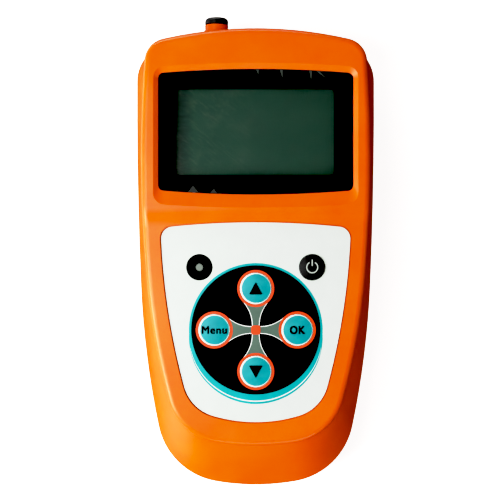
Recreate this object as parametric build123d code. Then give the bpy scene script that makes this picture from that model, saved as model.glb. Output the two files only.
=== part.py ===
from build123d import *
import math
import os

os.makedirs("parts", exist_ok=True)

# A hand-held meter lying on its back. X runs across it, Y towards the probe socket, Z out of its face.
# All sizes are millimetres.

STANDING = (Align.CENTER, Align.CENTER, Align.MIN)
WALL = 2.5
FIT = 0.1
GAP = 0.3
SEAM = 0.35

# Heights
PARTING = 17.0
DECK = 34.5
HEAD = 36.0
CEILING = DECK - 2.8

# Deck profile: where the head ramps down to the keypad and where it starts to fall away at its end
RAMP_LOW = 9.6
RAMP_HIGH = 18.0
HEAD_FALL_START = 62.0
HEAD_FALL = 0.7
DECK_ROUNDING = 2.3

# Battery bay for three AA cells side by side
CELL_RADIUS = 7.1
CELL_LENGTH = 49.3
CELL_NUB = 1.2
CELL_PITCH = 14.6
CELL_HEIGHT = 9.9
BAY_WIDTH = 3 * CELL_PITCH + 1.0
BAY_LOW = -59.0
BAY_HIGH = -2.0
BAY_ROOF = 17.4
BAY_WALL = 1.5
DOOR_MARGIN = 3.0
DOOR_BOTTOM = 0.2
DOOR_TOP = 2.2
HINGE_RADIUS = 0.7

# Window and display
WINDOW_CENTRE = 46.4
LENS_WIDTH = 74.6
LENS_LENGTH = 48.0
LENS_TOP = HEAD - 1.4
LENS_THICKNESS = 1.0
SEAL_THICKNESS = 0.2
PRINT_ROOM = 0.1
LEDGE = LENS_TOP - LENS_THICKNESS - PRINT_ROOM - SEAL_THICKNESS
LCD_CENTRE = 46.2
LCD_BOARD_WIDTH = 75.0
LCD_BOARD_LENGTH = 52.7
LCD_BOARD_BOTTOM = 25.0
BOARD_THICKNESS = 1.6
BEZEL_WIDTH = 69.0
BEZEL_LENGTH = 39.0
BEZEL_TOP = LEDGE - 1.0
VIEW_WIDTH = 62.0
VIEW_LENGTH = 34.6
HEADER_PITCH = 2.54
HEADER_PINS = 20

# Keypad
PANEL_FLOOR = DECK - 1.2
PANEL_THICKNESS = 0.8
PANEL_GROOVE = 0.45
KEY_CENTRE = -29.5
KEY_SPREAD = 15.9
KEY_RADIUS = 6.05
POWER_RADIUS = 5.0
CORNER_X = 21.6
CORNER_Y = -5.5
KEY_TOP = DECK + 0.2
KEY_DOME = 0.3
KEY_FLANGE = 1.0
KEY_STEM_RADIUS = 2.4
LED_RADIUS = 1.45

# Circuit board and switches
BOARD_BOTTOM = 21.4
BOARD_TOP = BOARD_BOTTOM + BOARD_THICKNESS
BOARD_MARGIN = 3.0
SWITCH_SIZE = 6.0
SWITCH_HEIGHT = 3.5
PLUNGER_RADIUS = 1.7
PLUNGER_TOP = BOARD_TOP + SWITCH_HEIGHT + 0.9

# Probe socket
SOCKET = Location((-15.2, 0, 25.0), (-90, 0, 0))
COLLAR_RADIUS = 4.5
COLLAR_START = 86.6
COLLAR_END = 88.7
NECK_RADIUS = 4.1
SOCKET_BORE = 3.2
SOCKET_BACK = 76.0
PLUG_END = 91.8
PLUG_RADIUS = 4.5
CONTACT_CIRCLE = 1.5

# Fasteners
CASE_SCREWS = [(x * side, y) for x, y in ((32.5, 76.8), (36, 5), (18, -68)) for side in (-1, 1)]
BOARD_SCREWS = [(x * side, y) for x, y in ((31, 12), (16, -57)) for side in (-1, 1)]
LCD_SCREWS = [
    (side * (LCD_BOARD_WIDTH / 2 - 2.5), LCD_CENTRE + end * (LCD_BOARD_LENGTH / 2 - 2.5))
    for side in (-1, 1) for end in (-1, 1)
]
SCREW_SEAT = 6.2


def arc_over(start, end, bulge):
    """An arc from start to end that swells to the left of the way it goes."""
    start = Vector(*start)
    end = Vector(*end)
    way = (end - start).normalized()
    return ThreePointArc(start, (start + end) * 0.5 + Vector(-way.Y, way.X) * bulge, end)


def corners_at(face, x, y):
    """The two mirrored vertices of an outline near a place."""
    return [v for v in face.vertices() if abs(abs(v.X) - x) < 0.01 and abs(v.Y - y) < 0.01]


def shield(crown, shoulder, hip, foot, sole, bulge, shoulder_radius, foot_radius):
    """A symmetric case outline: shallow arcs across both ends, and sides that curve in below the hip."""
    upper_side = arc_over(foot if hip is None else hip, shoulder, -bulge)
    sides = [upper_side]
    if hip is not None:
        sides.append(TangentArc(hip, foot, tangent=(upper_side % 0) * -1))
    sides += [mirror(side, Plane.YZ) for side in sides]
    top = ThreePointArc((-shoulder[0], shoulder[1]), (0, crown), shoulder)
    base = ThreePointArc((-foot[0], foot[1]), (0, sole), foot)
    outline = make_face([top, base, *sides])
    outline = fillet(corners_at(outline, *shoulder), shoulder_radius).face()
    return fillet(corners_at(outline, *foot), foot_radius).face()


def barrel(half_width, top, bottom, bulge, radius):
    """A rectangle with slightly bowed ends and rounded corners."""
    right_top = (half_width, top - bulge)
    right_low = (half_width, bottom + bulge)
    left_top = (-half_width, top - bulge)
    left_low = (-half_width, bottom + bulge)
    outline = make_face([
        ThreePointArc(left_top, (0, top), right_top),
        Line(right_top, right_low),
        ThreePointArc(right_low, (0, bottom), left_low),
        Line(left_low, left_top),
    ])
    return fillet(outline.vertices(), radius).face()


def inset(outline, amount):
    """The outline moved in by an amount, or out by a negative one, with every side a true arc or line."""
    sides = []
    for edge in offset(outline, amount=-amount).edges():
        if edge.geom_type == GeomType.LINE:
            sides.append(Line(edge @ 0, edge @ 1))
        else:
            sides.append(ThreePointArc(edge @ 0, edge @ 0.5, edge @ 1))
    return make_face(sides).face()


def plate(outline, bottom, top):
    """A flat outline raised into a plate."""
    return Pos(0, 0, bottom) * extrude(outline, amount=top - bottom)


def between(lower, bottom, upper, top):
    """A solid whose walls run straight from one outline to another."""
    return loft([Pos(0, 0, bottom) * lower, Pos(0, 0, top) * upper], ruled=True)


def post(place, radius, bottom, top):
    """An upright cylinder."""
    return Pos(*place, bottom) * Cylinder(radius, top - bottom, align=STANDING)


def block(place, width, length, bottom, top):
    """An upright box centred on a place."""
    return Pos(*place, bottom) * Box(width, length, top - bottom, align=STANDING)


def turned(radius, start, end):
    """A cylinder on the probe socket's axis."""
    return SOCKET * Pos(0, 0, start) * Cylinder(radius, end - start, align=STANDING)


def keys():
    """Name, place and cap radius of every key."""
    yield "up", (0, KEY_CENTRE + KEY_SPREAD), KEY_RADIUS
    yield "down", (0, KEY_CENTRE - KEY_SPREAD), KEY_RADIUS
    yield "menu", (-KEY_SPREAD, KEY_CENTRE), KEY_RADIUS
    yield "ok", (KEY_SPREAD, KEY_CENTRE), KEY_RADIUS
    yield "power", (CORNER_X, CORNER_Y), POWER_RADIUS


RIM = shield(86.0, (46.8, 79.5), (45.4, -12.7), (34.5, -84.9), -91.8, 0.63, 14.6, 28)
ISLAND = shield(86.2, (42.2, 80.5), (42.1, -8.9), (29.6, -69.9), -74.2, 1.85, 9, 23)
PANEL = shield(11.7, (36.4, 9.6), None, (25.2, -59.0), -64.8, 2.3, 4.6, 16)
LENS_TOP_EDGE = WINDOW_CENTRE + LENS_LENGTH / 2
LENS_LOW_EDGE = WINDOW_CENTRE - LENS_LENGTH / 2
LENS = barrel(LENS_WIDTH / 2, LENS_TOP_EDGE, LENS_LOW_EDGE, 1.6, 2.3)
WINDOW_MOUTH = barrel(LENS_WIDTH / 2 + 1.9, LENS_TOP_EDGE + 2.4, LENS_LOW_EDGE - 5.2, 1.6, 4.5)
BACK_ROUNDING = 7.0


def deck_profile():
    """The side view of everything below the face: deck, smooth ramp, head and the head's falling end."""
    beyond = 100
    middle = ((RAMP_LOW + RAMP_HIGH) / 2, (DECK + HEAD) / 2)
    sketch_lines = [
        Polyline((HEAD_FALL_START, HEAD), (RAMP_HIGH, HEAD)),
        TangentArc((RAMP_HIGH, HEAD), middle, tangent=(-1, 0)),
        TangentArc((RAMP_LOW, DECK), middle, tangent=(1, 0)),
        Polyline((RAMP_LOW, DECK), (-beyond, DECK), (-beyond, PARTING), (beyond, PARTING)),
        Line((beyond, PARTING), (beyond, HEAD - 2 * HEAD_FALL)),
        TangentArc((HEAD_FALL_START, HEAD), (beyond, HEAD - 2 * HEAD_FALL), tangent=(1, 0)),
    ]
    return make_face([Plane.YZ * line for line in sketch_lines])


def raised_deck():
    """The raised island on the case's face, with its edge rounded over."""
    deck = plate(ISLAND, PARTING + 4, HEAD + 1) & extrude(deck_profile(), amount=60, both=True)
    crosswise = [e for e in deck.edges() if e.geom_type == GeomType.LINE and abs((e % 0.5).X) > 0.9]
    rim_edges = [e for e in deck.edges() if e.center().Z > DECK - 1.2 and e not in crosswise]
    return fillet(rim_edges, DECK_ROUNDING)


def front_outside():
    """The front half as a solid: sloping flanks with the raised deck on top, bevelled at the seam."""
    flank = between(inset(RIM, SEAM), PARTING, RIM, PARTING + SEAM)
    flank += between(RIM, PARTING + SEAM, inset(ISLAND, 0.8), DECK - 0.8)
    return flank + raised_deck()


def front_shell():
    """The orange front half with its window, keypad recess, key holes, socket hole and screw posts."""
    outside = front_outside()
    shell = outside - between(inset(RIM, WALL), PARTING, inset(ISLAND, WALL + 0.8), CEILING)
    for place in CASE_SCREWS:
        shell += post(place, 3.5, PARTING, CEILING + 0.5) & outside
    for place in BOARD_SCREWS:
        shell += post(place, 3.0, BOARD_TOP, CEILING + 0.5)
    for place in LCD_SCREWS:
        shell += post(place, 2.4, LCD_BOARD_BOTTOM + BOARD_THICKNESS, CEILING + 0.5)

    shell -= between(LENS, LENS_TOP, WINDOW_MOUTH, HEAD + 0.01)
    shell -= plate(inset(LENS, -0.1), LEDGE, HEAD)
    shell -= block((0, LCD_CENTRE), VIEW_WIDTH + 3, VIEW_LENGTH + 3, PARTING, HEAD)
    shell -= block((0, LCD_CENTRE), BEZEL_WIDTH + 2, BEZEL_LENGTH + 2, PARTING, BEZEL_TOP + FIT)

    shell -= plate(inset(PANEL, -PANEL_GROOVE), PANEL_FLOOR, HEAD)
    for _, place, radius in keys():
        shell -= post(place, radius + GAP, PARTING, HEAD)
    shell -= post((-CORNER_X, CORNER_Y), LED_RADIUS + GAP, PARTING, HEAD)

    shell += turned(COLLAR_RADIUS + 0.4, COLLAR_START - 5, COLLAR_START - FIT)
    shell -= turned(NECK_RADIUS + FIT / 2, SOCKET_BACK, PLUG_END)
    for place in CASE_SCREWS:
        shell -= post(place, 1.3, PARTING, 26.0)
    for place in BOARD_SCREWS:
        shell -= post(place, 1.05, BOARD_TOP, BOARD_TOP + 6)
    for place in LCD_SCREWS:
        shell -= post(place, 0.9, LCD_BOARD_BOTTOM, LCD_BOARD_BOTTOM + 5)
    return shell


def door_edges():
    """Half-width, low end and high end of the battery door's opening."""
    return BAY_WIDTH / 2 + DOOR_MARGIN, BAY_LOW - DOOR_MARGIN, BAY_HIGH + DOOR_MARGIN


def hinge_line():
    """Y and Z of the battery door's hinge."""
    return BAY_LOW - DOOR_MARGIN + GAP + (DOOR_TOP - DOOR_BOTTOM) / 2, (DOOR_TOP + DOOR_BOTTOM) / 2


def hinge_pins(radius, half_width):
    """Two short pins at the ends of the door's hinge line."""
    y, z = hinge_line()
    return Pos(0, y, z) * Rot(0, 90, 0) * Cylinder(radius, 2 * half_width)


def rear_shell():
    """The orange back half with its battery bay, screw posts and gasket groove."""
    outside = plate(RIM, 0, PARTING - SEAM)
    outside = fillet(outside.faces().sort_by(Axis.Z)[0].edges(), BACK_ROUNDING)
    outside += between(RIM, PARTING - SEAM, inset(RIM, SEAM), PARTING)
    cavity = plate(inset(RIM, WALL), WALL, PARTING)
    cavity = fillet(cavity.faces().sort_by(Axis.Z)[0].edges(), BACK_ROUNDING - WALL)
    shell = outside - cavity
    half_width, low, high = door_edges()
    middle = (low + high) / 2
    bay_middle = (BAY_LOW + BAY_HIGH) / 2
    bay_length = BAY_HIGH - BAY_LOW
    shell += block((0, middle), 2 * half_width + 4, high - low + 4, WALL - 1, WALL + 1.5)
    shell += block((0, bay_middle), BAY_WIDTH + 2 * BAY_WALL, bay_length + 2 * BAY_WALL, WALL, BAY_ROOF + BAY_WALL)
    for place in CASE_SCREWS:
        shell += post(place, 4.2, 0, PARTING) & outside
    shell -= block((0, bay_middle), BAY_WIDTH, bay_length, 0, BAY_ROOF)
    shell -= block((0, middle), 2 * half_width, high - low, 0, WALL)
    shell -= hinge_pins(HINGE_RADIUS + FIT, half_width + 1.3)
    for place in CASE_SCREWS:
        shell -= post(place, 2.7, 0, SCREW_SEAT)
        shell -= post(place, 1.5, 0, PARTING)
    return shell - gasket_ring(0)


def gasket_ring(clearance):
    """The ring that runs round the parting face, thinned by a clearance on each side."""
    outer = plate(inset(RIM, 0.8 + clearance), PARTING - 0.8 + clearance, PARTING)
    return outer - plate(inset(RIM, 1.8 - clearance), PARTING - 1, PARTING)


def case_gasket():
    """The rubber cord between the two halves of the case."""
    return gasket_ring(0.05)


def screws(places, head_radius, head_bottom, seat, shank_radius, tip):
    """Pan-head screws with a cross recess, all pointing up."""
    made = []
    for place in places:
        screw = post(place, head_radius, head_bottom, seat) + post(place, shank_radius, seat, tip)
        for size in ((2.0, 0.5), (0.5, 2.0)):
            screw -= block(place, *size, head_bottom, head_bottom + 0.7)
        made.append(screw)
    return Compound(made)


def battery_door():
    """The door over the cells: rounded at its hinge end, with a finger recess at the other."""
    half_width, low, high = door_edges()
    thickness = DOOR_TOP - DOOR_BOTTOM
    y, z = hinge_line()
    end = high - GAP
    width = 2 * (half_width - GAP)
    door = block((0, (y + end) / 2), width, end - y, DOOR_BOTTOM, DOOR_TOP)
    door += Pos(0, y, z) * Rot(0, 90, 0) * Cylinder(thickness / 2, width)
    door += hinge_pins(HINGE_RADIUS, half_width + 1.0)
    ridge_pitch = 2.0
    for step in range(5):
        door -= block((0, end - 5 - step * ridge_pitch), 18, 0.9, DOOR_BOTTOM, DOOR_BOTTOM + 0.5)
    return door


def cell_places():
    """X of each cell and whether its positive end points towards the socket."""
    return [(-CELL_PITCH, True), (0, False), (CELL_PITCH, True)]


def cell_start():
    """Where a cell's flat end lies, from the middle of the bay."""
    return (BAY_HIGH - BAY_LOW) / 2 - 0.6 - CELL_NUB - CELL_LENGTH


def battery_cell(x, upward):
    """One AA cell lying in the bay."""
    middle = (BAY_LOW + BAY_HIGH) / 2
    along = Location((x, middle, CELL_HEIGHT), (-90 if upward else 90, 0, 0))
    start = cell_start()
    body = Pos(0, 0, start) * Cylinder(CELL_RADIUS, CELL_LENGTH, align=STANDING)
    body = fillet(body.edges().filter_by(GeomType.CIRCLE), 0.6)
    nub = Pos(0, 0, start + CELL_LENGTH) * Cylinder(2.7, CELL_NUB, align=STANDING)
    return along * (body + nub)


def battery_springs():
    """The coil springs that press on the cells' flat ends."""
    middle = (BAY_LOW + BAY_HIGH) / 2
    wire = 0.35
    free_start = -(BAY_HIGH - BAY_LOW) / 2 + 0.6 + wire
    reach = cell_start() - free_start - wire - 0.05
    coil = Helix(pitch=reach / 3, height=reach, radius=3.2)
    spring = sweep(Plane(origin=coil @ 0, z_dir=coil % 0) * Circle(wire), path=coil)
    made = []
    for x, upward in cell_places():
        along = Location((x, middle, CELL_HEIGHT), (-90 if upward else 90, 0, 0))
        made.append(along * Pos(0, 0, free_start) * spring)
    return Compound(made)


def battery_contacts():
    """The plated strips at both ends of every cell."""
    made = []
    for x, _ in cell_places():
        for y in (BAY_LOW + 0.3, BAY_HIGH - 0.3):
            made.append(block((x, y), 9, 0.5, CELL_HEIGHT - 4.5, CELL_HEIGHT + 4.5))
    return Compound(made)


def display_lens():
    """The clear window."""
    return plate(LENS, LENS_TOP - LENS_THICKNESS, LENS_TOP)


def lens_seal():
    """The thin adhesive frame under the window."""
    return plate(LENS, LEDGE, LEDGE + SEAL_THICKNESS) - block(
        (0, LCD_CENTRE), VIEW_WIDTH + 3, VIEW_LENGTH + 3, LEDGE, LEDGE + SEAL_THICKNESS)


def lcd_bezel():
    """The pressed metal frame that clamps the glass to its board."""
    place = (0, LCD_CENTRE)
    bottom = LCD_BOARD_BOTTOM + BOARD_THICKNESS
    frame = block(place, BEZEL_WIDTH, BEZEL_LENGTH, bottom, BEZEL_TOP)
    frame -= block(place, BEZEL_WIDTH - 1.2, BEZEL_LENGTH - 1.2, bottom, BEZEL_TOP - 0.5)
    return frame - block(place, VIEW_WIDTH, VIEW_LENGTH, bottom, BEZEL_TOP)


def lcd_layer(bottom, top):
    """A sheet that fills the inside of the metal frame."""
    return block((0, LCD_CENTRE), BEZEL_WIDTH - 1.6, BEZEL_LENGTH - 1.6, bottom, top)


def lcd_board():
    """The display module's own circuit board."""
    board = block((0, LCD_CENTRE), LCD_BOARD_WIDTH, LCD_BOARD_LENGTH, LCD_BOARD_BOTTOM,
                  LCD_BOARD_BOTTOM + BOARD_THICKNESS)
    for place in LCD_SCREWS:
        board -= post(place, 1.25, 0, HEAD)
    return board


def lcd_header():
    """The pin strip between the display board and the main board."""
    y = LCD_CENTRE + LCD_BOARD_LENGTH / 2 - 2.5
    strip = block((0, y), HEADER_PINS * HEADER_PITCH, 2.4, BOARD_TOP + 0.02, LCD_BOARD_BOTTOM - 0.02)
    return strip


def keypad_panel():
    """The white panel with its key holes and lamp hole."""
    panel = plate(PANEL, PANEL_FLOOR, PANEL_FLOOR + PANEL_THICKNESS)
    for _, place, radius in keys():
        panel -= post(place, radius + FIT, 0, HEAD)
    return panel - post((-CORNER_X, CORNER_Y), LED_RADIUS + FIT, 0, HEAD)


def key(place, radius):
    """A slightly domed cap with a stop flange and a stem down to its switch."""
    flange_top = CEILING - GAP
    flange_bottom = flange_top - KEY_FLANGE
    edge_top = KEY_TOP - KEY_DOME
    outline = make_face([
        Polyline((0, KEY_TOP), (0, PLUNGER_TOP), (KEY_STEM_RADIUS, PLUNGER_TOP)),
        Polyline((KEY_STEM_RADIUS, PLUNGER_TOP), (KEY_STEM_RADIUS, flange_bottom), (radius + 1, flange_bottom)),
        Polyline((radius + 1, flange_bottom), (radius + 1, flange_top), (radius, flange_top)),
        Line((radius, flange_top), (radius, edge_top - 0.25)),
        TangentArc((radius, edge_top - 0.25), (radius - 0.45, edge_top + 0.1), tangent=(0, 1)),
        TangentArc((0, KEY_TOP), (radius - 0.45, edge_top + 0.1), tangent=(1, 0)),
    ])
    return Pos(*place, 0) * revolve(Plane.XZ * outline, Axis.Z)


def plunger(place):
    """The switch's own button."""
    return post(place, PLUNGER_RADIUS, PLUNGER_TOP - 1.8, PLUNGER_TOP)


def tact_switch(place):
    """A square tactile switch with a hollow for its plunger."""
    switch = block(place, SWITCH_SIZE, SWITCH_SIZE, BOARD_TOP, BOARD_TOP + SWITCH_HEIGHT)
    return switch - post(place, PLUNGER_RADIUS + FIT, BOARD_TOP + 1, PLUNGER_TOP)


def status_led():
    """The lamp: a round-nosed body on two legs."""
    place = (-CORNER_X, CORNER_Y)
    nose = PANEL_FLOOR + PANEL_THICKNESS + 0.1
    body = post(place, LED_RADIUS, 28, nose - LED_RADIUS)
    body += Pos(*place, nose - LED_RADIUS) * Sphere(LED_RADIUS)
    body += post(place, LED_RADIUS + 0.2, 27.5, 28.5)
    for side in (-0.8, 0.8):
        body += block((place[0] + side, place[1]), 0.5, 0.5, BOARD_TOP, 28)
    return body


def main_board():
    """The main circuit board, cut away round the case screws and the probe socket."""
    board = plate(inset(inset(ISLAND, WALL), BOARD_MARGIN), BOARD_BOTTOM, BOARD_TOP)
    for place in CASE_SCREWS:
        board -= post(place, 4.2, 0, HEAD)
    for place in BOARD_SCREWS:
        board -= post(place, 1.25, 0, HEAD)
    socket_x = SOCKET.position.X
    return board - block((socket_x, SOCKET_BACK + 2), 14, 12, 0, HEAD)


def main_chip():
    """The square processor."""
    return block((0, 4), 12, 12, BOARD_TOP + 0.1, BOARD_TOP + 1.6)


def memory_chip():
    """The small memory chip."""
    return block((-12, 6), 5, 4, BOARD_TOP + 0.1, BOARD_TOP + 1.5)


def crystal():
    """The clock crystal's can."""
    can = block((12, 6), 11, 4.6, BOARD_TOP + 0.1, BOARD_TOP + 3.4)
    return fillet(can.edges().filter_by(Axis.Z), 2.2)


def capacitors():
    """Two upright electrolytic capacitors under the board."""
    return Compound([post((x, 18), 3.1, BOARD_BOTTOM - 7.5, BOARD_BOTTOM - 0.1) for x in (-10, 10)])


def buzzer():
    """The round sounder under the board."""
    place = (22, 52)
    body = post(place, 6, BOARD_BOTTOM - 7, BOARD_BOTTOM - 0.1)
    return body - post(place, 1, BOARD_BOTTOM - 8, BOARD_BOTTOM - 5)


def coin_holder():
    """The cradle for the clock's coin cell."""
    place = (-16, 46)
    top = BOARD_BOTTOM - 0.1
    return block(place, 20, 20, top - 4.2, top) - post(place, 8.3, top - 5, top - 0.8)


def coin_cell():
    """The coin cell."""
    return post((-16, 46), 8.0, BOARD_BOTTOM - 4.1, BOARD_BOTTOM - 0.95)


def power_connector():
    """The two-pole socket for the battery leads."""
    place = (0, 10)
    body = block(place, 8, 6, BOARD_BOTTOM - 6, BOARD_BOTTOM - 0.1)
    return body - block(place, 6, 4, BOARD_BOTTOM - 6, BOARD_BOTTOM - 2)


def probe_socket():
    """The orange collar on the case's end, held by a flange inside the wall."""
    collar = turned(COLLAR_RADIUS, COLLAR_START, COLLAR_END)
    collar = fillet(collar.edges().sort_by(Axis.Y)[-1], 0.2)
    collar += turned(NECK_RADIUS, SOCKET_BACK, COLLAR_START + 1)
    collar += turned(6.0, 79.0, 80.6)
    return collar - turned(SOCKET_BORE, SOCKET_BACK, COLLAR_END)


def socket_seal():
    """The rubber ring between the flange and the case wall."""
    return turned(5.9, 80.65, 81.3) - turned(NECK_RADIUS + FIT / 2, 80, 82)


def contact_places():
    """The four contacts' places across the socket."""
    turns = (math.radians(45 + 90 * step) for step in range(4))
    return [(CONTACT_CIRCLE * math.cos(turn), CONTACT_CIRCLE * math.sin(turn)) for turn in turns]


def socket_insert():
    """The insulating core that holds the contacts."""
    core = turned(SOCKET_BORE - 0.02, SOCKET_BACK, 83.5)
    for x, y in contact_places():
        core -= SOCKET * Pos(x, y, SOCKET_BACK) * Cylinder(0.52, 30)
    return core


def socket_contacts():
    """Four gold pins."""
    start = SOCKET_BACK - 2
    pins = []
    for x, y in contact_places():
        pins.append(SOCKET * Pos(x, y, start) * Cylinder(0.5, 86 - start, align=STANDING))
    return Compound(pins)


def dust_plug():
    """The black rubber plug: a rounded head and a hollow stem that fits the socket."""
    head_start = COLLAR_END + GAP
    rim_end = head_start + 0.9
    stem = SOCKET_BORE - FIT
    outline = make_face([
        Polyline((0, PLUG_END), (0, head_start), (stem - 0.8, head_start), (stem - 0.8, 84.5), (stem, 84.5)),
        Polyline((stem, 84.5), (stem, head_start), (PLUG_RADIUS, head_start), (PLUG_RADIUS, rim_end)),
        TangentArc((PLUG_RADIUS, rim_end), (PLUG_RADIUS - 1.5, PLUG_END - 0.3), tangent=(0, 1)),
        TangentArc((0, PLUG_END), (PLUG_RADIUS - 1.5, PLUG_END - 0.3), tangent=(1, 0)),
    ])
    return SOCKET * revolve(Plane.XZ * outline, Axis.Z)


def save(name, shape):
    """Write one node."""
    shape.label = name
    export_step(shape, f"parts/{name}.step")


save("front_shell", front_shell())
save("rear_shell", rear_shell())
save("case_gasket", case_gasket())
save("case_screws", screws(CASE_SCREWS, 2.4, SCREW_SEAT - 2, SCREW_SEAT, 1.25, 25))
save("battery_door", battery_door())
for number, (cell_x, points_up) in enumerate(cell_places(), start=1):
    save(f"battery_cell_{number}", battery_cell(cell_x, points_up))
save("battery_springs", battery_springs())
save("battery_contacts", battery_contacts())
save("display_lens", display_lens())
save("lens_seal", lens_seal())
save("lcd_bezel", lcd_bezel())
save("lcd_glass", lcd_layer(30.2, BEZEL_TOP - 0.55))
save("lcd_backlight", lcd_layer(27.0, 30.1))
save("lcd_board", lcd_board())
save("lcd_header", lcd_header())
save("lcd_screws", screws(LCD_SCREWS, 1.8, LCD_BOARD_BOTTOM - 1.2, LCD_BOARD_BOTTOM, 0.85, LCD_BOARD_BOTTOM + 4.5))
save("keypad_panel", keypad_panel())
for key_name, key_place, key_radius in keys():
    save(f"key_{key_name}", key(key_place, key_radius))
    save(f"plunger_{key_name}", plunger(key_place))
    save(f"tact_switch_{key_name}", tact_switch(key_place))
save("status_led", status_led())
save("main_board", main_board())
save("board_screws", screws(BOARD_SCREWS, 2.0, BOARD_BOTTOM - 1.2, BOARD_BOTTOM, 1.0, BOARD_TOP + 5))
save("main_chip", main_chip())
save("memory_chip", memory_chip())
save("crystal", crystal())
save("capacitors", capacitors())
save("buzzer", buzzer())
save("coin_holder", coin_holder())
save("coin_cell", coin_cell())
save("power_connector", power_connector())
save("probe_socket", probe_socket())
save("socket_seal", socket_seal())
save("socket_insert", socket_insert())
save("socket_contacts", socket_contacts())
save("dust_plug", dust_plug())
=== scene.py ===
import bpy
import math
from mathutils import Matrix, Vector

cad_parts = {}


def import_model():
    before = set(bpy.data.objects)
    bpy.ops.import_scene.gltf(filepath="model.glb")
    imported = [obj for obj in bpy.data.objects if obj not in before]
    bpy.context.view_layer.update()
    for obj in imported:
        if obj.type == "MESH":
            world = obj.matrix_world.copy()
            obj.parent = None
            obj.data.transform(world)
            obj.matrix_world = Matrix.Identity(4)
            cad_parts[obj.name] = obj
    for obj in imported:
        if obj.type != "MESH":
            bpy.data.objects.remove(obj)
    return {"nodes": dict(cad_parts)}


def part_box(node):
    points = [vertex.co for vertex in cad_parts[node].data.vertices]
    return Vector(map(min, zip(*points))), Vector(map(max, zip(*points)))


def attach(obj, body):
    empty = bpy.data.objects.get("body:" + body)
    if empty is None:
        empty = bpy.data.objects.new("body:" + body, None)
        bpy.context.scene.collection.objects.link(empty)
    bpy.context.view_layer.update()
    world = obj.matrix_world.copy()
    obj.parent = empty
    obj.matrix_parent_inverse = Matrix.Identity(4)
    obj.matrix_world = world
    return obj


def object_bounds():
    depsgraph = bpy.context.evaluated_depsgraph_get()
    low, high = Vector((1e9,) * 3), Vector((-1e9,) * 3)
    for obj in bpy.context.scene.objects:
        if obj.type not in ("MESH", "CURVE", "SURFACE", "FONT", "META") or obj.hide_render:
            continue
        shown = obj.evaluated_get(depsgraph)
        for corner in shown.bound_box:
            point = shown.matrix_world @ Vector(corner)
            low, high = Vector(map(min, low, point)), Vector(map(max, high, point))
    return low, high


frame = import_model()
cad_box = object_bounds()
nodes = frame["nodes"]

MM = 0.001
CASE = "case_body"
PANEL_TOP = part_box("keypad_panel")[1].z
# Thickness of a printed layer, and the step from one layer to the next
PRINT = 0.04 * MM

# Camera and its tone response
CAMERA_PLACE = (-2.2 * MM, 1.12 * MM, 520 * MM)
CAMERA_LENS = 91.35
BLACK_LEVEL = (0.028, 0.028, 0.028)
TONE_CURVE = ((0.0, 0.0), (0.12, 0.13), (0.3, 0.42), (0.55, 0.77), (0.8, 0.88), (1.0, 0.94))

KEY_NAMES = ("up", "down", "menu", "ok")


def middle(node):
    """The centre of a node's box."""
    low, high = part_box(node)
    return (low + high) / 2


# Where the printed graphics go, taken from the keys they surround
KEY_PLACES = {name: middle(f"key_{name}") for name in (*KEY_NAMES, "power")}
PAD_CENTRE = (KEY_PLACES["up"] + KEY_PLACES["down"]) / 2
KEY_SPREAD = KEY_PLACES["up"].y - PAD_CENTRE.y
LAMP_PLACE = middle("status_led")

# Sizes of the printed graphics
DISC_RADIUS = 24.7 * MM
SWASH_RADIUS = 25.6 * MM
SWASH_DROP = 2.75 * MM
SWASH_LINE_DROP = 1.9 * MM
SWASH_LINE_WIDTH = 0.42 * MM
SWASH_LINE_SPAN = (192, 348)
RING_INNER = 6.16 * MM
RING_OUTER = 7.1 * MM
CAP_PRINT_RADIUS = 5.55 * MM
# The key caps' turquoise print is set off to the right so the white rim is wider on the left: a painted
# highlight
CAP_HIGHLIGHT_SHIFT = 0.2 * MM
ARM_START = 1.2 * MM
ARM_END = 11.2 * MM
ARM_NECK = 1.15 * MM
ARM_MOUTH = 4.95 * MM
ARM_FLARE = 2.3
ARM_EDGE = 0.3 * MM
ARM_UNDER_RING = 0.5 * MM
HUB_SIDE = 3.5 * MM
HUB_CORNER = 0.9 * MM
ARROW_HALF_WIDTH = 2.6 * MM
ARROW_HEIGHT = 4.8 * MM
ARROW_TIP_SHARE = 0.52
ARROW_CORNER = 0.5 * MM
POWER_RING_RADIUS = 2.1 * MM
POWER_STROKE = 0.42 * MM
POWER_GAP = 30
POWER_BAR_LENGTH = 2.5 * MM
POWER_BAR_RISE = 1.75 * MM
POWER_BAR_CORNER = 0.2 * MM
LETTER_SPACING = 1.12
OVERPRINTS = ((0, 0), (-1, -1), (-1, 1), (1, -1), (1, 1))
OVERPRINT_LIFT = 0.1 * PRINT
LAMP_DISC_RADIUS = 5.05 * MM
LAMP_HOLE_RADIUS = 1.56 * MM
LAMP_FACE_RADIUS = 1.36 * MM
DISPLAY_WIDTH = 60.9 * MM
DISPLAY_LENGTH = 32.8 * MM
DISPLAY_SHIFT = -0.45 * MM
DISPLAY_RISE = 0.1 * MM
DISPLAY_CORNER = 1.6 * MM
WINDOW_BOW = 1.6 * MM
WINDOW_BORDER_INSET = 0.2 * MM
FILM_INSET = 0.15 * MM
FLOOR_HALF = 3.0
FLOOR_GAP = 0.05 * MM

# Scraps of protective film left on the window: place across it, width, length and lean, in millimetres
FILM_STREAKS = ((0.6, 1.2, 2.2, 0.4), (9.7, 1.3, 3.6, 0.6), (21.0, 1.3, 3.9, 0.2), (23.6, 1.4, 3.4, 4.0))
FILM_TORN_ENDS = ((-24.0, 4.4, 2.6, 0.0), (-16.2, 3.0, 1.9, 0.2), (-30.0, 0.8, 0.6, 0.1))

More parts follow.
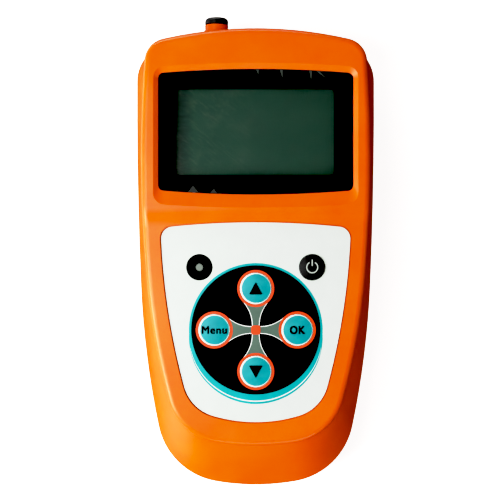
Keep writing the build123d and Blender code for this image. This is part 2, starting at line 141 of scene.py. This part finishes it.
# Colours of the unlit display, from its glass to the marks on it
DISPLAY_GREEN = (0.053, 0.130, 0.096, 1)
DISPLAY_GREEN_PALER = (0.068, 0.152, 0.113, 1)
DISPLAY_SMEAR = (0.115, 0.215, 0.155, 1)
DISPLAY_SCRATCH = (0.19, 0.30, 0.235, 1)
# Painted shadow: the darkening along the display's left edge, where the window's border shades it
DISPLAY_PAINTED_SHADOW = (0.03, 0.04, 0.036, 1)


# ---------------------------------------------------------------- shader helpers

class Shader:
    """A material's node tree with short calls for the nodes used here."""

    def __init__(self, name):
        self.material = bpy.data.materials.new(name)
        self.material.use_nodes = True
        self.tree = self.material.node_tree
        self.surface = self.tree.nodes["Principled BSDF"]
        self.place = self.node("ShaderNodeTexCoord").outputs["Object"]

    def node(self, kind, **settings):
        """Add a node and set its properties."""
        made = self.tree.nodes.new(kind)
        for key, value in settings.items():
            setattr(made, key, value)
        return made

    def feed(self, socket, value):
        """Link an output, or set a plain value."""
        if isinstance(value, bpy.types.NodeSocket):
            self.tree.links.new(value, socket)
        else:
            socket.default_value = value

    def math(self, operation, first, second=0.0, clamp=False):
        made = self.node("ShaderNodeMath", operation=operation, use_clamp=clamp)
        self.feed(made.inputs[0], first)
        self.feed(made.inputs[1], second)
        return made.outputs[0]

    def stretched(self, scale, turn=0.0):
        """Object coordinates turned about Z by degrees, then scaled differently along each axis."""
        made = self.node("ShaderNodeMapping", vector_type="TEXTURE" if turn else "POINT")
        self.feed(made.inputs["Vector"], self.place)
        made.inputs["Scale"].default_value = tuple(1 / part for part in scale) if turn else scale
        made.inputs["Rotation"].default_value[2] = math.radians(turn)
        return made.outputs["Vector"]

    def noise(self, size, detail=3.0, rough=0.55, vector=None):
        """Noise whose blobs are about size metres across."""
        made = self.node("ShaderNodeTexNoise")
        self.feed(made.inputs["Vector"], self.place if vector is None else vector)
        made.inputs["Scale"].default_value = 1 / size
        made.inputs["Detail"].default_value = detail
        made.inputs["Roughness"].default_value = rough
        return made.outputs["Fac"]

    def spread(self, value, low, high, to_low=0.0, to_high=1.0):
        """Map a range of values to another, clamped."""
        made = self.node("ShaderNodeMapRange")
        self.feed(made.inputs["Value"], value)
        for key, number in (("From Min", low), ("From Max", high), ("To Min", to_low), ("To Max", to_high)):
            made.inputs[key].default_value = number
        return made.outputs["Result"]

    def mix(self, factor, first, second):
        """Blend two colours."""
        made = self.node("ShaderNodeMix", data_type="RGBA")
        self.feed(made.inputs["Factor"], factor)
        self.feed(made.inputs["A"], first)
        self.feed(made.inputs["B"], second)
        return made.outputs["Result"]

    def bump(self, height, strength, distance):
        """Add a bump on top of any bump already there."""
        made = self.node("ShaderNodeBump")
        made.inputs["Strength"].default_value = strength
        made.inputs["Distance"].default_value = distance
        self.feed(made.inputs["Height"], height)
        before = self.surface.inputs["Normal"].links
        if before:
            self.tree.links.new(before[0].from_socket, made.inputs["Normal"])
        self.feed(self.surface.inputs["Normal"], made.outputs["Normal"])

    def set(self, **values):
        """Feed inputs of the surface; an underscore in a name stands for a space."""
        for key, value in values.items():
            self.feed(self.surface.inputs[key.replace("_", " ")], value)


def tint(red, green, blue):
    """A linear colour from 0-255 display values."""
    def linear(value):
        part = value / 255
        return part / 12.92 if part <= 0.04045 else ((part + 0.055) / 1.055) ** 2.4
    return linear(red), linear(green), linear(blue), 1.0


def moulded(name, colour, darker, rough=0.42, grain=0.35 * MM, grain_strength=0.18):
    """Moulded plastic: fine grain, faint mottling, uneven gloss and light handling scratches."""
    shader = Shader(name)
    mottle = shader.spread(shader.noise(14 * MM, 4), 0.35, 0.7)
    speck = shader.spread(shader.noise(0.7 * MM, 2), 0.4, 0.75)
    tone = shader.mix(shader.math("MULTIPLY", mottle, 0.5), colour, darker)
    shader.set(Base_Color=shader.mix(shader.math("MULTIPLY", speck, 0.18), tone, darker))
    rubbed = shader.spread(shader.noise(22 * MM, 3), 0.35, 0.7, -0.05, 0.06)
    scratch = shader.noise(1.0, 5, 0.7, shader.stretched((1900, 160, 900)))
    scratch_mask = shader.spread(scratch, 0.66, 0.72)
    gloss = shader.math("ADD", rubbed, rough)
    burnish = shader.math("MULTIPLY", scratch_mask, 0.08)
    shader.set(Roughness=shader.math("SUBTRACT", gloss, burnish, clamp=True))
    shader.bump(shader.noise(grain, 4, 0.65), grain_strength, 0.03 * MM)
    shader.bump(scratch_mask, -0.08, 0.02 * MM)
    shader.surface.inputs["Specular IOR Level"].default_value = 0.45
    return shader


def orange_plastic():
    """The case's orange plastic, slightly translucent."""
    shader = moulded("orange_abs", tint(229, 108, 12), tint(215, 92, 5), 0.37)
    shader.surface.inputs["Subsurface Weight"].default_value = 0.08
    shader.surface.inputs["Subsurface Radius"].default_value = (1.0, 0.3, 0.05)
    shader.surface.inputs["Subsurface Scale"].default_value = 0.6 * MM
    return shader.material


def printed(name, colour, darker, rough=0.38):
    """Screen ink on a satin film: slight tone change and a soft grain."""
    shader = Shader(name)
    blotch = shader.spread(shader.noise(6 * MM, 4), 0.35, 0.7)
    shader.set(Base_Color=shader.mix(shader.math("MULTIPLY", blotch, 0.6), colour, darker))
    shader.set(Roughness=shader.spread(shader.noise(4 * MM, 4), 0.3, 0.7, rough - 0.05, rough + 0.07))
    shader.bump(shader.noise(0.22 * MM, 3), 0.12, 0.012 * MM)
    return shader.material


def key_cap(place):
    """A white cap with a turquoise printed top. The print's edge is slightly ragged and set off to the right,
    so the white rim shows wider on the left as a painted highlight.
    """
    shader = Shader("key_cap_print")
    parts = shader.node("ShaderNodeSeparateXYZ")
    shader.feed(parts.inputs[0], shader.place)
    # Setting the print off to the right paints a highlight: a wider white crescent along the cap's left edge
    across = shader.math("SUBTRACT", parts.outputs["X"], place.x + CAP_HIGHLIGHT_SHIFT)
    along = shader.math("SUBTRACT", parts.outputs["Y"], place.y)
    across_squared = shader.math("MULTIPLY", across, across)
    along_squared = shader.math("MULTIPLY", along, along)
    distance = shader.math("SQRT", shader.math("ADD", across_squared, along_squared))
    wobble = shader.spread(shader.noise(1.5 * MM, 3), 0.3, 0.7, -0.05 * MM, 0.05 * MM)
    inked = shader.math("ADD", distance, wobble)
    mask = shader.spread(inked, CAP_PRINT_RADIUS - 0.08 * MM, CAP_PRINT_RADIUS + 0.06 * MM)
    shade = shader.spread(shader.noise(5 * MM, 3), 0.35, 0.7)
    ink = shader.mix(shade, tint(30, 151, 157), tint(18, 139, 147))
    shader.set(Base_Color=shader.mix(mask, ink, tint(222, 230, 224)))
    shader.set(Roughness=shader.spread(shader.noise(3 * MM, 4), 0.3, 0.7, 0.30, 0.44))
    shader.bump(shader.noise(0.3 * MM, 3), 0.14, 0.02 * MM)
    shader.surface.inputs["Coat Weight"].default_value = 0.15
    return shader.material


def clear_plastic():
    """The window: clear, with faint smears and hairline scratches."""
    shader = Shader("clear_window")
    smear = shader.noise(1.0, 5, 0.6, shader.stretched((120, 420, 120)))
    shader.set(
        Base_Color=(1, 1, 1, 1), Transmission_Weight=1.0, IOR=1.49,
        Roughness=shader.spread(smear, 0.45, 0.75, 0.0, 0.03),
    )
    scratch = shader.noise(1.0, 6, 0.75, shader.stretched((260, 2600, 260)))
    shader.bump(shader.spread(scratch, 0.66, 0.70), 0.02, 0.01 * MM)
    return shader.material


def display_glass():
    """The unlit display: dark green, with dried smears and slanting scratches that a painted sheen makes
    stronger on the left, and a painted shadow darkening its left edge.
    """
    shader = Shader("display_glass")
    parts = shader.node("ShaderNodeSeparateXYZ")
    shader.feed(parts.inputs[0], shader.place)
    across = parts.outputs["X"]
    left = -DISPLAY_WIDTH / 2
    # The smears and scratches are real marks; fading them out towards the right is a painted sheen, lighter
    # on the side the light comes from
    painted_sheen_left = shader.spread(across, left, 5 * MM, 1.0, 0.1)
    cloud = shader.spread(shader.noise(24 * MM, 3), 0.3, 0.75)
    base = shader.mix(cloud, DISPLAY_GREEN, DISPLAY_GREEN_PALER)
    smear = shader.spread(shader.noise(1.0, 6, 0.65, shader.stretched((150, 240, 150), 30)), 0.5, 0.68)
    smeared = shader.math("MULTIPLY", shader.math("MULTIPLY", smear, painted_sheen_left), 0.5)
    base = shader.mix(smeared, base, DISPLAY_SMEAR)
    scratch = shader.spread(shader.noise(1.0, 5, 0.7, shader.stretched((1800, 160, 900), 50)), 0.56, 0.64)
    scratched = shader.math("MULTIPLY", shader.math("MULTIPLY", scratch, painted_sheen_left), 0.3)
    base = shader.mix(scratched, base, DISPLAY_SCRATCH)
    # Painted shadow along the display's left edge, given a ragged boundary with noise
    ragged = shader.noise(1.0, 5, 0.7, shader.stretched((300, 900, 300)))
    edge = shader.math("ADD", across, shader.spread(ragged, 0.3, 0.7, -1.5 * MM, 1.5 * MM))
    painted_shadow = shader.spread(edge, left - 1 * MM, left + 6.5 * MM, 0.85, 0.0)
    base = shader.mix(painted_shadow, base, DISPLAY_PAINTED_SHADOW)
    shader.set(Base_Color=base, Roughness=shader.spread(smear, 0.0, 1.0, 0.28, 0.5))
    shader.bump(shader.noise(0.47 * MM, 1), 0.05, 0.01 * MM)
    return shader.material


def rubber(name, shade):
    """Soft black rubber with a dusty bloom."""
    shader = Shader(name)
    bloom = shader.spread(shader.noise(2.5 * MM, 5), 0.45, 0.75)
    light = tuple(min(1.0, part + 0.02) for part in shade[:3]) + (1.0,)
    shader.set(Base_Color=shader.mix(bloom, shade, light))
    shader.set(Roughness=shader.spread(bloom, 0, 1, 0.42, 0.62))
    shader.bump(shader.noise(0.25 * MM, 4), 0.25, 0.02 * MM)
    return shader.material


def metal(name, colour, rough, stretch=(300, 300, 2400)):
    """Machined or pressed metal with fine tool lines."""
    shader = Shader(name)
    lines = shader.noise(1.0, 5, 0.6, shader.stretched(stretch))
    tarnish = shader.spread(shader.noise(3 * MM, 4), 0.4, 0.75)
    dull = tuple(part * 0.72 for part in colour[:3]) + (1.0,)
    shader.set(Base_Color=shader.mix(tarnish, colour, dull), Metallic=1.0)
    shader.set(Roughness=shader.spread(lines, 0.3, 0.7, rough - 0.06, rough + 0.12))
    shader.bump(lines, 0.1, 0.01 * MM)
    return shader.material


def circuit_board():
    """Green solder mask over faint copper tracks."""
    shader = Shader("circuit_board")
    tracks = shader.node("ShaderNodeTexBrick")
    shader.feed(tracks.inputs["Vector"], shader.place)
    tracks.inputs["Scale"].default_value = 1 / (5 * MM)
    tracks.inputs["Mortar Size"].default_value = 0.04
    tracks.inputs["Color1"].default_value = (0, 0, 0, 1)
    tracks.inputs["Color2"].default_value = (0, 0, 0, 1)
    tracks.inputs["Mortar"].default_value = (1, 1, 1, 1)
    mask_green = (0.006, 0.07, 0.025, 1)
    track_green = (0.02, 0.16, 0.06, 1)
    shader.set(Base_Color=shader.mix(tracks.outputs["Fac"], mask_green, track_green))
    shader.set(Roughness=shader.spread(shader.noise(5 * MM, 3), 0.3, 0.7, 0.25, 0.4))
    shader.bump(tracks.outputs["Fac"], 0.2, 0.03 * MM)
    return shader.material


def cell_jacket():
    """A battery's printed jacket: plain bands along its length."""
    shader = Shader("cell_jacket")
    parts = shader.node("ShaderNodeSeparateXYZ")
    shader.feed(parts.inputs[0], shader.place)
    band = shader.spread(parts.outputs["Y"], -20 * MM, -19.6 * MM)
    wear = shader.spread(shader.noise(1.2 * MM, 4), 0.62, 0.7)
    blue = (0.02, 0.05, 0.16, 1)
    gold = (0.45, 0.30, 0.08, 1)
    bare = (0.3, 0.3, 0.3, 1)
    shader.set(Base_Color=shader.mix(wear, shader.mix(band, blue, gold), bare), Metallic=0.3)
    shader.set(Roughness=shader.spread(wear, 0, 1, 0.28, 0.45))
    shader.bump(shader.noise(0.4 * MM, 3), 0.05, 0.02 * MM)
    return shader.material


# ---------------------------------------------------------------- materials on the CAD nodes

ORANGE = orange_plastic()
BLACK_PLASTIC = moulded("black_plastic", (0.012, 0.012, 0.012, 1), (0.02, 0.02, 0.02, 1), 0.45).material
BLACK_RUBBER = rubber("black_rubber", (0.008, 0.008, 0.008, 1))
GREY_RUBBER = rubber("grey_rubber", (0.04, 0.04, 0.04, 1))
STEEL = metal("screw_steel", (0.55, 0.55, 0.57, 1), 0.3)
BRIGHT_PLATE = metal("bright_plate", (0.75, 0.74, 0.72, 1), 0.2)
GOLD = metal("gold_contact", (0.85, 0.60, 0.25, 1), 0.22)
BOARD = circuit_board()
CELL = cell_jacket()
PANEL_WHITE = printed("panel_white", tint(212, 225, 217), tint(204, 217, 209), 0.42)
LIGHT_GUIDE = printed("light_guide", tint(225, 230, 225), tint(210, 218, 212), 0.3)
WHITE_PLASTIC = moulded("white_plastic", tint(226, 224, 214), tint(214, 211, 200), 0.5).material
LAMP = moulded("lamp_resin", tint(140, 152, 144), tint(124, 134, 128), 0.6, grain_strength=0.05).material
KEY_BLACK = moulded("key_black", (0.004, 0.004, 0.004, 1), (0.007, 0.007, 0.007, 1), 0.38).material
CLEAR = clear_plastic()
DISPLAY = display_glass()
FRAME_PAINT = moulded("frame_paint", (0.01, 0.01, 0.01, 1), (0.02, 0.02, 0.02, 1), 0.35).material

FINISHES = {
    ORANGE: ("front_shell", "rear_shell", "battery_door", "probe_socket"),
    BLACK_RUBBER: ("dust_plug", "socket_seal"),
    GREY_RUBBER: ("case_gasket", "lens_seal"),
    STEEL: ("case_screws", "lcd_screws", "board_screws"),
    BRIGHT_PLATE: ("battery_springs", "battery_contacts", "crystal", "capacitors", "coin_cell"),
    GOLD: ("socket_contacts",),
    BOARD: ("main_board", "lcd_board"),
    CELL: ("battery_cell_1", "battery_cell_2", "battery_cell_3"),
    PANEL_WHITE: ("keypad_panel",),
    LIGHT_GUIDE: ("lcd_backlight",),
    WHITE_PLASTIC: ("power_connector",),
    LAMP: ("status_led",),
    KEY_BLACK: ("key_power",),
    CLEAR: ("display_lens",),
    DISPLAY: ("lcd_glass",),
    FRAME_PAINT: ("lcd_bezel",),
    BLACK_PLASTIC: ("lcd_header", "main_chip", "memory_chip", "buzzer", "coin_holder", "socket_insert"),
}


def give(node, material):
    """Put one material on a CAD node."""
    slots = nodes[node].data.materials
    slots.clear()
    slots.append(material)


for material, members in FINISHES.items():
    for member in members:
        give(member, material)
for name in KEY_NAMES:
    give(f"key_{name}", key_cap(KEY_PLACES[name]))
for name in (*KEY_NAMES, "power"):
    give(f"plunger_{name}", BLACK_PLASTIC)
    give(f"tact_switch_{name}", BRIGHT_PLATE)


# ---------------------------------------------------------------- flat printed shapes

def circle(centre, radius, start=0.0, end=360.0, steps=120):
    """Points round a circle, or along part of it."""
    turns = [math.radians(start + (end - start) * step / steps) for step in range(steps + 1)]
    if end - start >= 360:
        turns.pop()
    return [(centre[0] + radius * math.cos(turn), centre[1] + radius * math.sin(turn)) for turn in turns]


def rounded(points, radius, steps=8):
    """A polygon with rounded corners."""
    made = []
    count = len(points)
    for index, corner in enumerate(points):
        sides = []
        for other in (points[index - 1], points[(index + 1) % count]):
            away = (other[0] - corner[0], other[1] - corner[1])
            length = math.hypot(*away)
            sides.append((corner[0] + away[0] / length * radius, corner[1] + away[1] / length * radius))
        for step in range(steps + 1):
            part = step / steps
            weights = ((1 - part) ** 2, 2 * part * (1 - part), part ** 2)
            made.append(tuple(
                weights[0] * sides[0][axis] + weights[1] * corner[axis] + weights[2] * sides[1][axis]
                for axis in (0, 1)
            ))
    return made


def rectangle(centre, width, length, radius):
    """A rounded rectangle's points."""
    x, y = centre[0], centre[1]
    signs = ((-1, -1), (1, -1), (1, 1), (-1, 1))
    return rounded([(x + width / 2 * a, y + length / 2 * b) for a, b in signs], radius)


def ink(name, outlines, height, material, body=CASE, slot=None):
    """A thin printed layer from closed outlines; an outline inside another is a hole."""
    curve = bpy.data.curves.new(name, "CURVE")
    curve.dimensions = "2D"
    curve.fill_mode = "BOTH"
    curve.extrude = PRINT / 2
    for outline in outlines:
        spline = curve.splines.new("POLY")
        spline.points.add(len(outline) - 1)
        for point, place in zip(spline.points, outline):
            point.co = (place[0], place[1], 0, 1)
        spline.use_cyclic_u = True
    return mesh_from(name, curve, (0, 0, height), material, body)


def mesh_from(name, curve, place, material, body):
    """Turn a curve or text into a mesh piece that rides on a body."""
    holder = bpy.data.objects.new(name, curve)
    bpy.context.scene.collection.objects.link(holder)
    graph = bpy.context.evaluated_depsgraph_get()
    mesh = bpy.data.meshes.new_from_object(holder.evaluated_get(graph))
    bpy.data.objects.remove(holder)
    mesh.transform(Matrix.Translation(place))
    mesh.materials.clear()
    mesh.materials.append(material)
    piece = bpy.data.objects.new(name, mesh)
    bpy.context.scene.collection.objects.link(piece)
    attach(piece, body)
    return piece


INK_BLACK = printed("ink_black", (0.0015, 0.0018, 0.0018, 1), (0.004, 0.005, 0.005, 1), 0.13)
INK_TURQUOISE = printed("ink_turquoise", tint(4, 158, 162), tint(2, 146, 152))
INK_ORANGE = printed("ink_orange", tint(214, 82, 34), tint(202, 72, 28))
INK_GREY = printed("ink_grey", tint(92, 112, 102), tint(82, 101, 92))
FROSTED = printed("frosted_lamp", tint(112, 122, 115), tint(92, 102, 96), 0.35)
FILM_PALE = printed("film_pale", (0.06, 0.078, 0.068, 1), (0.03, 0.04, 0.035, 1), 0.45)
FILM_DARK = printed("film_dark", (0.018, 0.023, 0.02, 1), (0.01, 0.014, 0.012, 1), 0.45)
INK_PALE = printed("ink_pale", tint(186, 196, 190), tint(172, 182, 176), 0.3)
INK_WHITE = printed("ink_white", tint(238, 242, 240), tint(224, 230, 226))


def pad_graphics():
    """The disc, its turquoise swash, the arms between the keys and the rings round them."""
    x, y = PAD_CENTRE.x, PAD_CENTRE.y
    level = PANEL_TOP
    lean = math.degrees(math.asin(SWASH_DROP / 2 / SWASH_RADIUS))
    swash = circle((x, y), SWASH_RADIUS, -lean, 180 + lean)
    swash += circle((x, y - SWASH_DROP), SWASH_RADIUS, 180 - lean, 360 + lean)
    key_holes = [circle(KEY_PLACES[name], RING_INNER) for name in KEY_NAMES]
    ink("swash", [swash, *key_holes], level + PRINT, INK_TURQUOISE, slot="turquoise_key")
    line = circle((x, y - SWASH_LINE_DROP), SWASH_RADIUS, *SWASH_LINE_SPAN)
    line += circle((x, y - SWASH_LINE_DROP + SWASH_LINE_WIDTH), SWASH_RADIUS, *SWASH_LINE_SPAN)[::-1]
    ink("swash_line", [line], level + 2 * PRINT, INK_WHITE, slot="white_panel")
    disc = circle((x, y), DISC_RADIUS)
    ink("pad_disc", [disc, *key_holes], level + 3 * PRINT, INK_BLACK, slot="black_key")
    for name in KEY_NAMES:
        arm(name, level + 4 * PRINT)
        ring = [circle(KEY_PLACES[name], RING_OUTER), circle(KEY_PLACES[name], RING_INNER)]
        ink(f"ring_{name}", ring, level + 6 * PRINT, INK_ORANGE, slot="orange_case")
    hub = rectangle((x, y), HUB_SIDE, HUB_SIDE, HUB_CORNER)
    ink("pad_hub", [hub], level + 7 * PRINT, INK_ORANGE, slot="orange_case")


def arm(name, level):
    """A grey arm that flares from the hub to a key's ring, edged in white."""
    place = KEY_PLACES[name]
    way_x = (place.x - PAD_CENTRE.x) / KEY_SPREAD
    way_y = (place.y - PAD_CENTRE.y) / KEY_SPREAD
    steps = 24

    def edge(side, extra):
        """Points along one side of the arm, from the hub outwards."""
        made = []
        for step in range(steps + 1):
            part = step / steps
            along = ARM_START + (ARM_END - ARM_START) * part
            half = (ARM_NECK + (ARM_MOUTH - ARM_NECK) * part ** ARM_FLARE + extra) * side
            x = PAD_CENTRE.x + way_x * along - way_y * half
            y = PAD_CENTRE.y + way_y * along + way_x * half
            made.append((x, y))
        return made

    def outline(extra):
        """The closed arm: up one edge, round the ring's near side and back down the other edge."""
        facing = math.degrees(math.atan2(-way_y, -way_x))
        opening = math.degrees(math.asin(ARM_MOUTH / RING_OUTER))
        near = circle(place, RING_INNER + ARM_UNDER_RING, facing + opening, facing - opening, steps)
        return edge(-1, extra) + near + edge(1, extra)[::-1]

    ink(f"arm_edge_{name}", [outline(ARM_EDGE)], level, INK_WHITE, slot="white_panel")
    ink(f"arm_{name}", [outline(0.0)], level + PRINT, INK_GREY, slot="lamp_resin")


def lamp_disc():
    """The black disc round the status lamp and the lamp's frosted face."""
    outlines = [circle(LAMP_PLACE, LAMP_DISC_RADIUS), circle(LAMP_PLACE, LAMP_HOLE_RADIUS)]
    ink("lamp_disc", outlines, PANEL_TOP + PRINT, INK_BLACK, slot="black_key")
    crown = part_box("status_led")[1].z
    ink("lamp_face", [circle(LAMP_PLACE, LAMP_FACE_RADIUS)], crown + PRINT / 2, FROSTED, slot="lamp_resin")


def key_top(name):
    """The height of a key's crown."""
    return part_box(f"key_{name}")[1].z


def arrow(name, direction):
    """A rounded triangle on an arrow key."""
    place = KEY_PLACES[name]
    tip = (place.x, place.y + direction * ARROW_HEIGHT * ARROW_TIP_SHARE)
    foot_y = place.y - direction * ARROW_HEIGHT * (1 - ARROW_TIP_SHARE)
    half = ARROW_HALF_WIDTH * direction
    outline = rounded([tip, (place.x - half, foot_y), (place.x + half, foot_y)], ARROW_CORNER)
    level = key_top(name) + PRINT
    ink(f"arrow_{name}", [outline], level, INK_BLACK, f"key_{name}_body", "black_key")


def word(name, letters, width, height, stroke):
    """A generic word fitted to a width and height, overprinted to every side to thicken its strokes."""
    place = KEY_PLACES[name]
    level = key_top(name)
    body = f"key_{name}_body"
    for step, (right, up) in enumerate(OVERPRINTS):
        text = bpy.data.curves.new(f"word_{name}", "FONT")
        text.body = letters
        text.size = 4 * MM
        text.extrude = PRINT / 2
        text.space_character = LETTER_SPACING
        piece = mesh_from(f"word_{name}_{step}", text, (0, 0, 0), INK_BLACK, body)
        across = [vertex.co.x for vertex in piece.data.vertices]
        along = [vertex.co.y for vertex in piece.data.vertices]
        middle_x = (max(across) + min(across)) / 2
        middle_y = (max(along) + min(along)) / 2
        scale_x = width / (max(across) - min(across))
        scale_y = height / (max(along) - min(along))
        for vertex in piece.data.vertices:
            vertex.co.x = place.x + (vertex.co.x - middle_x) * scale_x + right * stroke
            vertex.co.y = place.y + (vertex.co.y - middle_y) * scale_y + up * stroke
            vertex.co.z += level + PRINT + step * OVERPRINT_LIFT


def power_symbol():
    """The usual broken ring and bar."""
    place = KEY_PLACES["power"]
    start = 90 + POWER_GAP
    end = 450 - POWER_GAP
    ring = circle(place, POWER_RING_RADIUS + POWER_STROKE / 2, start, end, 60)
    ring += circle(place, POWER_RING_RADIUS - POWER_STROKE / 2, end, start, 60)
    bar = rectangle((place.x, place.y + POWER_BAR_RISE), POWER_STROKE, POWER_BAR_LENGTH, POWER_BAR_CORNER)
    level = key_top("power") + PRINT
    ink("power_ring", [ring], level, INK_PALE, "key_power_body", "white_panel")
    ink("power_bar", [bar], level, INK_PALE, "key_power_body", "white_panel")


def lens_border():
    """The black print on the back of the window, open over the display."""
    low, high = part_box("display_lens")
    level = low.z - PRINT
    half = (high.x - low.x) / 2 - WINDOW_BORDER_INSET
    steps = 40
    top = []
    bottom = []
    for step in range(steps + 1):
        part = -1 + 2 * step / steps
        drop = WINDOW_BORDER_INSET + WINDOW_BOW * part ** 2
        top.append((half * part, high.y - drop))
        bottom.append((-half * part, low.y + drop))
    view_centre = (DISPLAY_SHIFT, middle("lcd_glass").y + DISPLAY_RISE)
    view = rectangle(view_centre, DISPLAY_WIDTH, DISPLAY_LENGTH, DISPLAY_CORNER)
    ink("lens_border", [top[::-1] + bottom[::-1], view], level, INK_BLACK, slot="display_frame")


def film_scraps():
    """Bits of protective film still stuck to the window's ends."""
    low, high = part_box("display_lens")
    half = (high.x - low.x) / 2
    for name, scraps, side, film in (
        ("streak", FILM_STREAKS, -1, FILM_PALE), ("torn_end", FILM_TORN_ENDS, 1, FILM_DARK),
    ):
        for number, scrap in enumerate(scraps):
            x, width, length, lean = (part * MM for part in scrap)
            drop = WINDOW_BOW * (x / half) ** 2 + FILM_INSET
            y = high.y - drop if side < 0 else low.y + drop
            points = [(x - width / 2, y), (x + width / 2, y), (x + lean, y + side * length)]
            ink(f"film_{name}_{number}", [points], high.z + PRINT / 2, film, slot="clear_window")


pad_graphics()
lamp_disc()
arrow("up", 1)
arrow("down", -1)
word("menu", "Menu", 9.4 * MM, 2.75 * MM, 0.09 * MM)
word("ok", "OK", 5.5 * MM, 2.9 * MM, 0.13 * MM)
power_symbol()
lens_border()
film_scraps()


# ---------------------------------------------------------------- stage

def floor():
    """A plain pale floor that takes shadows but throws little light back."""
    mesh = bpy.data.meshes.new("floor")
    level = cad_box[0].z - FLOOR_GAP
    corners = [(x * FLOOR_HALF, y * FLOOR_HALF, level) for x, y in ((-1, -1), (1, -1), (1, 1), (-1, 1))]
    mesh.from_pydata(corners, [], [(0, 1, 2, 3)])
    shader = Shader("floor")
    shader.set(Base_Color=(0.92, 0.92, 0.92, 1), Roughness=0.8)
    shader.set(Emission_Color=(1, 1, 1, 1), Emission_Strength=0.85)
    mesh.materials.append(shader.material)
    made = bpy.data.objects.new("floor", mesh)
    bpy.context.scene.collection.objects.link(made)
    made.visible_diffuse = False
    made.visible_glossy = False


def area_light(name, place, target, size, power, colour=(1, 1, 1)):
    """A soft box aimed at a point: sizes in metres, power in watts."""
    light = bpy.data.lights.new(name, "AREA")
    light.shape = "RECTANGLE"
    light.size, light.size_y = size
    light.energy = power
    light.color = colour
    made = bpy.data.objects.new(name, light)
    made.location = place
    aim = Vector(target) - made.location
    made.rotation_euler = aim.to_track_quat("-Z", "Y").to_euler()
    made.visible_camera = False
    bpy.context.scene.collection.objects.link(made)


def camera():
    """Straight above, at the height and lens that give the picture's perspective."""
    data = bpy.data.cameras.new("camera")
    data.sensor_width = 36
    data.lens = CAMERA_LENS
    data.clip_start = 0.01
    made = bpy.data.objects.new("camera", data)
    made.location = CAMERA_PLACE
    bpy.context.scene.collection.objects.link(made)
    bpy.context.scene.camera = made


def world():
    """Dim, even surroundings."""
    made = bpy.data.worlds.new("studio")
    made.use_nodes = True
    background = made.node_tree.nodes["Background"]
    background.inputs["Color"].default_value = (1.0, 0.8, 0.7, 1)
    background.inputs["Strength"].default_value = 0.05
    bpy.context.scene.world = made


def tone():
    """A camera's response: firm blacks and gently compressed highlights. The curve already starts at zero."""
    view = bpy.context.scene.view_settings
    view.view_transform = "Standard"
    view.use_curve_mapping = True
    mapping = view.curve_mapping
    mapping.black_level = BLACK_LEVEL
    curve = mapping.curves[3]
    curve.points[1].location = TONE_CURVE[-1]
    for place in TONE_CURVE[1:-1]:
        curve.points.new(*place)
    mapping.update()


floor()
world()
camera()
tone()
deck = (0, 0, 34 * MM)
area_light("key_left", (-0.32, -0.12, 0.21), deck, (0.22, 0.22), 1.75)
area_light("high_left", (-0.26, -0.02, 0.62), deck, (0.12, 0.3), 1.6)
area_light("front", (0.10, -0.60, 0.30), deck, (0.5, 0.3), 1.0)
area_light("right", (0.60, -0.10, 0.30), deck, (0.3, 0.5), 0.8, (1.0, 0.65, 0.5))
area_light("far_end", (-0.12, 0.45, 0.12), deck, (0.4, 0.1), 1.0)
area_light("bounce_left", (-0.22, -0.02, 0.001), (-0.22, -0.02, 0.1), (0.3, 0.35), 0.55)
